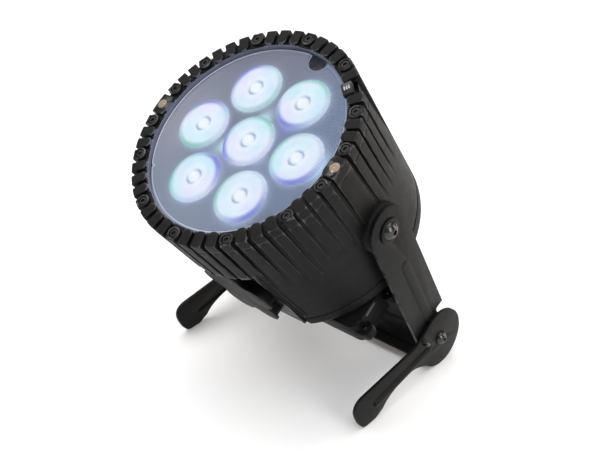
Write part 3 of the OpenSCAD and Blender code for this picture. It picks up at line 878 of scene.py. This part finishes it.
# Directions, in degrees about the lens axis, of each lamp's green and violet fringes,
# and how strong the green one is. The middle lamp comes first.
FRINGES = [(90, 215, 0.9), (160, 300, 1.0), (90, 255, 0.8), (330, 150, 0.5), (270, 120, 0.9),
           (190, 60, 1.0), (190, 330, 1.0)]
NOTCH = (77.0, 88.0, 10.0)        # angle, distance of its centre and radius of the finger notch
# NOTCH_SHADE places the painted shade of the gap seen through the notch
NOTCH_SHADE = (81.5, 91.0, 12.0)  # the same for the dark gap seen through the notch
NICK = (217.0, 2.6, 1.2)          # angle, depth and half width in degrees of the edge's nick

# Glows beyond a lamp's edge: lamp, direction, spread in degrees, reach in mm, strength, colour
HALOS = [(1, 0, 50, 7.0, 0.9, (0.50, 0.74, 1.0)), (6, 305, 45, 7.0, 0.40, (0.40, 0.50, 0.78)),
         (0, 90, 26, 6.0, 0.9, CYAN), (0, 210, 26, 6.0, 0.95, CYAN),
         (0, 330, 30, 6.0, 0.5, (0.45, 0.6, 0.9)), (2, 270, 40, 5.0, 0.7, VIOLET),
         (5, 60, 40, 5.0, 0.5, VIOLET), (3, 150, 60, 4.0, 0.3, VIOLET)]
LENS_TEETH = 64
# DIMPLE_AXIS: direction in which the painted shade ring at a lens's dimple is strongest
DIMPLE_AXIS = 70.0  # direction in degrees in which a lens's dimple ring shows most
DIMPLE_R = 6.4
LAMP_SPOTS = [(0.0, 0.0)] + [
    (LAMP_PITCH * math.cos(math.radians(60 * i)), LAMP_PITCH * math.sin(math.radians(60 * i)))
    for i in range(6)
]


def mix(a, b, share):
    """Colour a share of the way from a to b."""
    share = min(max(share, 0.0), 1.0)
    return tuple(x + (y - x) * share for x, y in zip(a, b))


def step_up(value, low, high):
    """0 below low and 1 above high, with a smooth rise between."""
    t = min(max((value - low) / (high - low), 0.0), 1.0)
    return t * t * (3 - 2 * t)


def lobe(angle, direction, spread=90.0):
    """1 in a direction, falling smoothly to 0 at a spread in degrees away from it."""
    away = abs((angle - direction + 180.0) % 360.0 - 180.0)
    return 1 - step_up(away, 0.0, spread)


def lamp_colour(index, x, y):
    """Colour of a lit lens at a place measured from its middle, in mm."""
    green, violet, power = FRINGES[index]
    r = math.hypot(x, y)
    angle = math.degrees(math.atan2(y, x))
    patch = noise.noise(Vector((x * 0.06 + index * 7.3, y * 0.06, index * 3.1)))
    tint = mix(LAVENDER, CYAN, 0.5 + 1.0 * patch + 0.35 * math.cos(math.radians(angle - green)))
    bright = 0.35 * noise.noise(Vector((x * 0.09, y * 0.09, index * 5.7 + 40.0)))
    colour = mix(WHITE, tint, (0.75 + bright) * step_up(r, 4.0, 15.0))
    # A ring of painted shade at the dimple's edge, strongest towards DIMPLE_AXIS
    sides = math.cos(math.radians(angle - DIMPLE_AXIS)) ** 2
    ring = math.exp(-(((r - DIMPLE_R) / 1.25) ** 2)) * (0.10 + 0.80 * sides)
    colour = mix(colour, DIMPLE_SHADE_BLUE, ring)
    rim = step_up(r, 18.2, 22.8)
    colour = mix(colour, MINT, rim * lobe(angle, green, 95.0) * power)
    colour = mix(colour, VIOLET, rim * lobe(angle, violet, 95.0))
    teeth = 0.5 + 0.5 * math.cos(math.radians(angle) * LENS_TEETH)
    colour = mix(colour, TOOTH_BLUE, 0.55 * teeth * step_up(r, 19.5, 22.6))
    return mix(colour, DUSK, step_up(r, 23.2, 24.6) * 0.35)


def plate_colour(x, y):
    """Colour of the plate between the lamps, with their stray light painted on."""
    angle = math.degrees(math.atan2(y, x))
    r = math.hypot(x, y)
    colour = mix(PLATE, PLATE_TOP, lobe(angle, 120, 80))
    colour = mix(colour, PLATE_LEFT, lobe(angle, 185, 65) * step_up(r, 40, 80))
    colour = mix(colour, PLATE_BOTTOM, 0.8 * lobe(angle, 255, 75))
    colour = mix(colour, PLATE_SHADE, 0.6 * lobe(angle, 309, 28) * step_up(r, 70, 82))
    for lamp, direction, spread, reach, strength, tint in HALOS:
        dx, dy = x - LAMP_SPOTS[lamp][0], y - LAMP_SPOTS[lamp][1]
        beyond = max(math.hypot(dx, dy) - LENS_R, 0.0)
        share = lobe(math.degrees(math.atan2(dy, dx)), direction, spread)
        colour = mix(colour, tint, strength * share * math.exp(-beyond / reach))
    nearest = min(math.hypot(x - a, y - b) for a, b in LAMP_SPOTS) - LENS_R
    colour = mix(colour, PLATE_NEAR_LAMP, 0.42 * math.exp(-max(nearest, 0.0) / 2.2))
    # Painted shade where the gap behind the notch is seen
    shade_angle, shade_distance, shade_r = NOTCH_SHADE
    turn = math.radians(angle - shade_angle)
    away = math.hypot(r * math.cos(turn) - shade_distance, r * math.sin(turn))
    return mix(NOTCH_GAP_SHADE, colour, step_up(away, shade_r - 2.0, shade_r))


def paint_glow(mesh, colour_at):
    """Stores glow colours on a mesh's points. colour_at takes a place in the head's frame."""
    layer = mesh.color_attributes.new("glow", "FLOAT_COLOR", "POINT")
    back = HEAD.inverted()
    for vertex, item in zip(mesh.vertices, layer.data):
        place = back @ vertex.co
        item.color = (*colour_at(place), 1.0)


def lens_profile(grip):
    """Half outline of a lens from its crown's middle to its base, as (radius, depth). grip is
    how far its knurl stands out."""
    top = LENS_TOP_D
    points = [(0.05, top + 0.25), (2.0, top + 0.3), (4.0, top + 0.5), (5.4, top + 1.0),
              (6.3, top + 1.4), (6.9, top + 1.2), (7.5, top + 0.7), (8.4, top + 0.3)]
    crown_radii = (10.5, 12.0, 14.0, 16.5, 18.8, 20.0, 21.2)
    points += [(r, top + 0.12 + 0.0022 * (r - 14.0) ** 2) for r in crown_radii]
    points += [(22.4, top + 0.45), (23.2, top + 0.8), (23.6 + grip, top + 1.3),
               (23.7 + grip, top + 2.2), (23.7 + grip, top + 6.5), (20.0, top + 9.0),
               (12.0, top + 16.0)]
    return points


def head_mesh(bm, name):
    """Moves a bmesh from the head's frame to its place and turns it into a mesh."""
    bmesh.ops.transform(bm, matrix=HEAD, verts=bm.verts)
    return mesh_from(bm, name)


def build_lenses():
    """Seven collimator lenses in one piece, each with a dimple and a knurled edge."""
    around = LENS_TEETH * 4
    plain, gripped = lens_profile(0.0), lens_profile(0.7)
    bm = bmesh.new()
    for cx, cy in LAMP_SPOTS:
        rows = []
        for k in range(len(plain)):
            row = []
            for c in range(around):
                r, depth = gripped[k] if c % 3 == 0 else plain[k]
                a = math.tau * c / around
                row.append(bm.verts.new((cx + r * math.cos(a), cy + r * math.sin(a), -depth)))
            rows.append(row)
        bm.faces.new(rows[0])
        join_rings(bm, rows)
    bmesh.ops.recalc_face_normals(bm, faces=bm.faces)
    mesh = head_mesh(bm, "lens_pucks")

    def colour_at(place):
        spots = [(math.hypot(place.x - x, place.y - y), i) for i, (x, y) in enumerate(LAMP_SPOTS)]
        index = min(spots)[1]
        x, y = LAMP_SPOTS[index]
        colour = lamp_colour(index, place.x - x, place.y - y)
        return mix(colour, NIGHT, step_up(-place.z, LENS_TOP_D + 1.5, LENS_TOP_D + 6.0))

    paint_glow(mesh, colour_at)
    shade_smooth(mesh)
    smooth_by_angle(mesh, 50.0)
    new_piece("lens_pucks", mesh, BODY_OF["collimator_lenses"], ("collimator_lenses",))


def build_mask():
    """The plate around the lenses: a fine grid so that it can carry the painted stray light. It
    rises to the wall beyond the lamps."""
    bm = bmesh.new()
    step = 1.5
    drawn_in = 1.2
    under_lens = 3.0
    plate_r = 87.0
    wall_reach = 95.3
    wall_top_d = 9.3
    count = int(wall_reach / step) + 1
    spots = {}
    for i in range(-count, count + 1):
        for j in range(-count, count + 1):
            x, y = i * step, j * step
            r = math.hypot(x, y)
            if r > wall_reach + drawn_in:
                continue
            if r > wall_reach:
                x, y, r = x * wall_reach / r, y * wall_reach / r, wall_reach
            if min(math.hypot(x - a, y - b) for a, b in LAMP_SPOTS) < LENS_R - under_lens:
                continue
            rise = max(r - plate_r, 0.0) / (wall_reach - plate_r) * (MASK_D - wall_top_d)
            spots[i, j] = bm.verts.new((x, y, rise - MASK_D))
    for i, j in spots:
        corners = [(i, j), (i + 1, j), (i + 1, j + 1), (i, j + 1)]
        if all(c in spots for c in corners):
            bm.faces.new([spots[c] for c in corners])
    mesh = head_mesh(bm, "lamp_plate")
    paint_glow(mesh, lambda place: plate_colour(place.x, place.y))
    shade_smooth(mesh)
    new_piece("lamp_plate", mesh, BODY_OF["lens_frame"], ("lens_frame",))


def sheet_radius(angle, inset):
    """Radius of the clear sheet's outline at an angle, with its finger notch and its nick.
    inset is how far the outline lies inside the sheet's edge."""
    r = SHEET_R - inset
    notch_angle, centre, notch_r = NOTCH
    turn = math.radians(angle - notch_angle)
    radius = notch_r + inset
    side = centre * math.sin(turn)
    if abs(side) < radius and math.cos(turn) > 0:
        r = min(r, centre * math.cos(turn) - math.sqrt(radius ** 2 - side ** 2))
    nick_angle, nick_depth, nick_half = NICK
    off = abs((angle - nick_angle + 180) % 360 - 180)
    half = nick_half + inset * 0.4
    if off < half:
        r -= nick_depth * (1 - off / half)
    return r


def build_sheet():
    """The clear sheet with rounded edges, brightly lit with painted light."""
    around = 720
    rings = [(0.8, 0.0), (0.4, 0.0), (0.12, 0.12), (0.0, 0.35), (0.0, SHEET_T - 0.35),
             (0.12, SHEET_T - 0.12), (0.4, SHEET_T), (0.8, SHEET_T)]
    bm = bmesh.new()
    rows = []
    for inset, depth in rings:
        row = []
        for c in range(around):
            angle = 360.0 * c / around
            x, y, z = polar(angle, sheet_radius(angle, inset), -SHEET_D - depth)
            row.append(bm.verts.new((x, y, z)))
        rows.append(row)
    for face in join_rings(bm, rows):
        face.material_index = 1
    bm.faces.new(rows[0])
    bm.faces.new(list(reversed(rows[-1])))
    bmesh.ops.recalc_face_normals(bm, faces=bm.faces)
    mesh = head_mesh(bm, "clear_front_sheet")

    # Painted light along the sheet's edge: brighter on some sides, dimmer near the notch
    def edge_colour(place):
        angle = math.degrees(math.atan2(place.y, place.x))
        lit = max(lobe(angle, 185, 100), lobe(angle, 270, 90), lobe(angle, 345, 60))
        bright = (0.20 + 0.70 * lit) * (1 - 0.3 * lobe(angle, NOTCH[0], 22.0))
        return mix(EDGE_DIM, EDGE_BRIGHT, bright)

    paint_glow(mesh, edge_colour)
    mesh.materials.append(MATERIALS["clear_sheet"])
    mesh.materials.append(MATERIALS["sheet_edge"])
    new_piece("clear_front_sheet", mesh, BODY_OF["diffuser_plate"], ("diffuser_plate",))


build_lenses()
build_mask()
build_sheet()

# ---------------------------------------------------------------- everything else


def within(x):
    """Test that a corner lies no further out than a face at x on either side, for pieces
    whose raised shapes are made again here."""
    return lambda co: abs(co.x) < (x + 0.05) * MM


def side_frame(side, x, y, z):
    """Matrix with Z pointing out of an arm's outer face and X up along the arm; y and z are
    in the yoke's frame."""
    outward = Matrix.Rotation(side * math.pi / 2, 4, "Y")
    up = Matrix.Rotation(math.pi if side > 0 else 0.0, 4, "Z")
    return YOKE @ Matrix.Translation((side * x, y, z)) @ outward @ up


def leg_frame(side, x, forward, height, turn=0.0):
    """Matrix with X along a leg towards its toe, turned by an angle in degrees, and Z out of
    its outer face."""
    axes = Matrix(((0, 0, side, 0), (-1, 0, 0, 0), (0, 1, 0, 0), (0, 0, 0, 1)))
    place = Matrix.Translation(
        (side * x * MM, LEG_PIVOT.y - forward * MM, LEG_PIVOT.z + height * MM)
    )
    return place @ axes @ Matrix.Rotation(math.radians(turn), 4, "Z") @ Matrix.Scale(MM, 4)


def build_arm(side, name):
    """One arm of the yoke, with the long bead on its outer face."""
    def bead(bm):
        place = side_frame(side, ARM_X - 0.05, y=0.5, z=32.0)
        dome_grid(bm, place, pill(length=78.5, radius=5.6), height=1.0, rings=10)

    refined("yoke_arm_" + name, 0.5, keep=within(ARM_X), extra=bead)


def build_leg(side, name):
    """One folding leg, with the long bead and the round stop on its outer face."""
    def bead_and_stop(bm):
        along = leg_frame(side, LEG_FACE_X - 0.05, forward=18.5, height=-2.0, turn=-8.3)
        dome_grid(bm, along, pill(length=77.0, radius=3.5), height=2.3, rings=10)
        above = leg_frame(side, LEG_FACE_X - 0.05, forward=25.8, height=12.8)
        dome_grid(bm, above, circle_outline(3.0), height=2.5, rings=6)

    refined("leg_" + name, 0.55, keep=within(LEG_FACE_X), extra=bead_and_stop)


build_arm(1, "right")
build_arm(-1, "left")
build_leg(1, "right")
build_leg(-1, "left")


def grip_bars(bm, matrix, radius, low, high, count):
    """Small bars around a round part, such as a cap's grip."""
    width = 0.9
    height = 0.7
    for k in range(count):
        turn = matrix @ Matrix.Rotation(math.tau * k / count, 4, "Z")
        add_box(bm, turn, (radius - 0.4, -width / 2, low), (radius + height, width / 2, high))


def connector_grips(x, radius):
    """Shapes that add grip bars to a pair of connector caps, x to each side of the middle."""
    def grips(bm):
        for side in (-1, 1):
            at = HEAD @ Matrix.Translation((side * x, CONNECTOR_Y, -BOX_BACK_D))
            grip_bars(bm, at, radius, low=-10.2, high=-3.0, count=28)
    return grips


def silver_top(obj):
    """Gives the latch's ribbed pad a bright metal face."""
    pad_z = 0.72
    mesh = obj.data
    mesh.materials.append(MATERIALS["silver_pad"])
    back = HEAD.inverted()
    for polygon in mesh.polygons:
        if (back @ polygon.center).z > pad_z:
            polygon.material_index = 1


silver_top(refined("filter_latch", 0.25))

# CAD nodes, and the width in mm of the rounding on their edges
for node, width in (
    ("bezel_screws", 0.3), ("filter_magnets", 0.35), ("rear_cover", 0.5), ("rear_box", 1.2),
    ("rear_cover_screws", 0.3), ("label_plates", 0.2), ("display_window", 0.3),
    ("vent_plug", 0.5), ("safety_eye", 0.5), ("service_knob", 0.55),
    ("knob_cam", 0.4), ("pivot_washers", 0.45), ("yoke_crossbar", 0.6), ("leg_spacers", 0.3),
    ("friction_discs", 0.2),
):
    refined(node, width)
for node in ("pivot_bolts", "leg_bolts"):
    refined(node, 0.25, material="gloss_bolt", angle=35.0)
for node in ("plunger_right", "plunger_left", "rear_box_screws"):
    refined(node, 0.2, angle=35.0)
for node in ("button_menu", "button_up", "button_down", "button_enter"):
    refined(node, 0.6, 3)
refined("power_connectors", 0.4, extra=connector_grips(x=66, radius=11.0))
refined("data_connectors", 0.4, extra=connector_grips(x=22, radius=9.5))


def slope_ridges(obj):
    """Lowers the service cover's side ridges towards the rear, where the head is narrower.
    cut_away is the (y, z) outline of what is cut off."""
    cut_away = [(-87.2, -165.0), (-87.2, -125.0), (-90.8, -70.0), (-100.0, -70.0),
                (-100.0, -165.0)]
    half_length = 60.0
    bm = bmesh.new()
    left, right = (
        [bm.verts.new(HEAD @ Vector((x, y, z))) for y, z in cut_away]
        for x in (-half_length, half_length)
    )
    bm.faces.new(left)
    bm.faces.new(right)
    join_rings(bm, [left, right])
    bmesh.ops.recalc_face_normals(bm, faces=bm.faces)
    cut(obj, bm, "ridge_slope")
    smooth_by_angle(obj.data, 42.0)


slope_ridges(refined("service_cover", 0.5))

# ---------------------------------------------------------------- camera, light, stage

camera_data = bpy.data.cameras.new("camera")
camera_data.sensor_width = 36.0
camera_data.lens = 62.32
camera_data.shift_x = 0.00665
camera_data.shift_y = 0.00591
camera = bpy.data.objects.new("camera", camera_data)
camera.location = (0.58019, -0.54644, 0.64673)
camera.rotation_euler = [math.radians(a) for a in (57.4565, 4.7256, 42.7623)]
bpy.context.scene.collection.objects.link(camera)
bpy.context.scene.camera = camera


HEART = (0, 0, 0.15)  # the place in metres that the lights point at


def area_light(name, place, size, watts, colour=(1, 1, 1)):
    """A rectangular light that points at the middle of the fixture."""
    data = bpy.data.lights.new(name, "AREA")
    data.shape = "RECTANGLE"
    data.size, data.size_y = size
    data.energy = watts
    data.color = colour
    obj = bpy.data.objects.new(name, data)
    obj.location = place
    obj.rotation_euler = (Vector(HEART) - Vector(place)).to_track_quat("-Z", "Y").to_euler()
    bpy.context.scene.collection.objects.link(obj)


area_light("overhead", (-0.3, 0.2, 2.3), (4.0, 4.0), 112)
area_light("key", (1.9, -0.2, 0.9), (0.8, 1.4), 22)
area_light("fill", (-1.6, -1.4, 0.9), (1.2, 1.2), 8)
area_light("warm_side", (1.3, 1.6, 0.5), (0.8, 1.2), 14, (1.0, 0.74, 0.56))

world = bpy.data.worlds.new("studio")
world.use_nodes = True
world.node_tree.nodes["Background"].inputs["Color"].default_value = (1, 1, 1, 1)
world.node_tree.nodes["Background"].inputs["Strength"].default_value = 0.3
bpy.context.scene.world = world

floor_bm = bmesh.new()
bmesh.ops.create_grid(floor_bm, x_segments=1, y_segments=1, size=6.0)
floor_mesh = mesh_from(floor_bm, "floor")
floor = bpy.data.objects.new("floor", floor_mesh)
floor.location = (0, 0, -0.0002)
bpy.context.scene.collection.objects.link(floor)
floor_look = Nodes("floor")
floor_look.set(Base_Color=(0.9, 0.9, 0.9, 1), Roughness=0.6)
floor_mesh.materials.append(MATERIALS["floor"])

bpy.context.scene.view_settings.view_transform = "Standard"
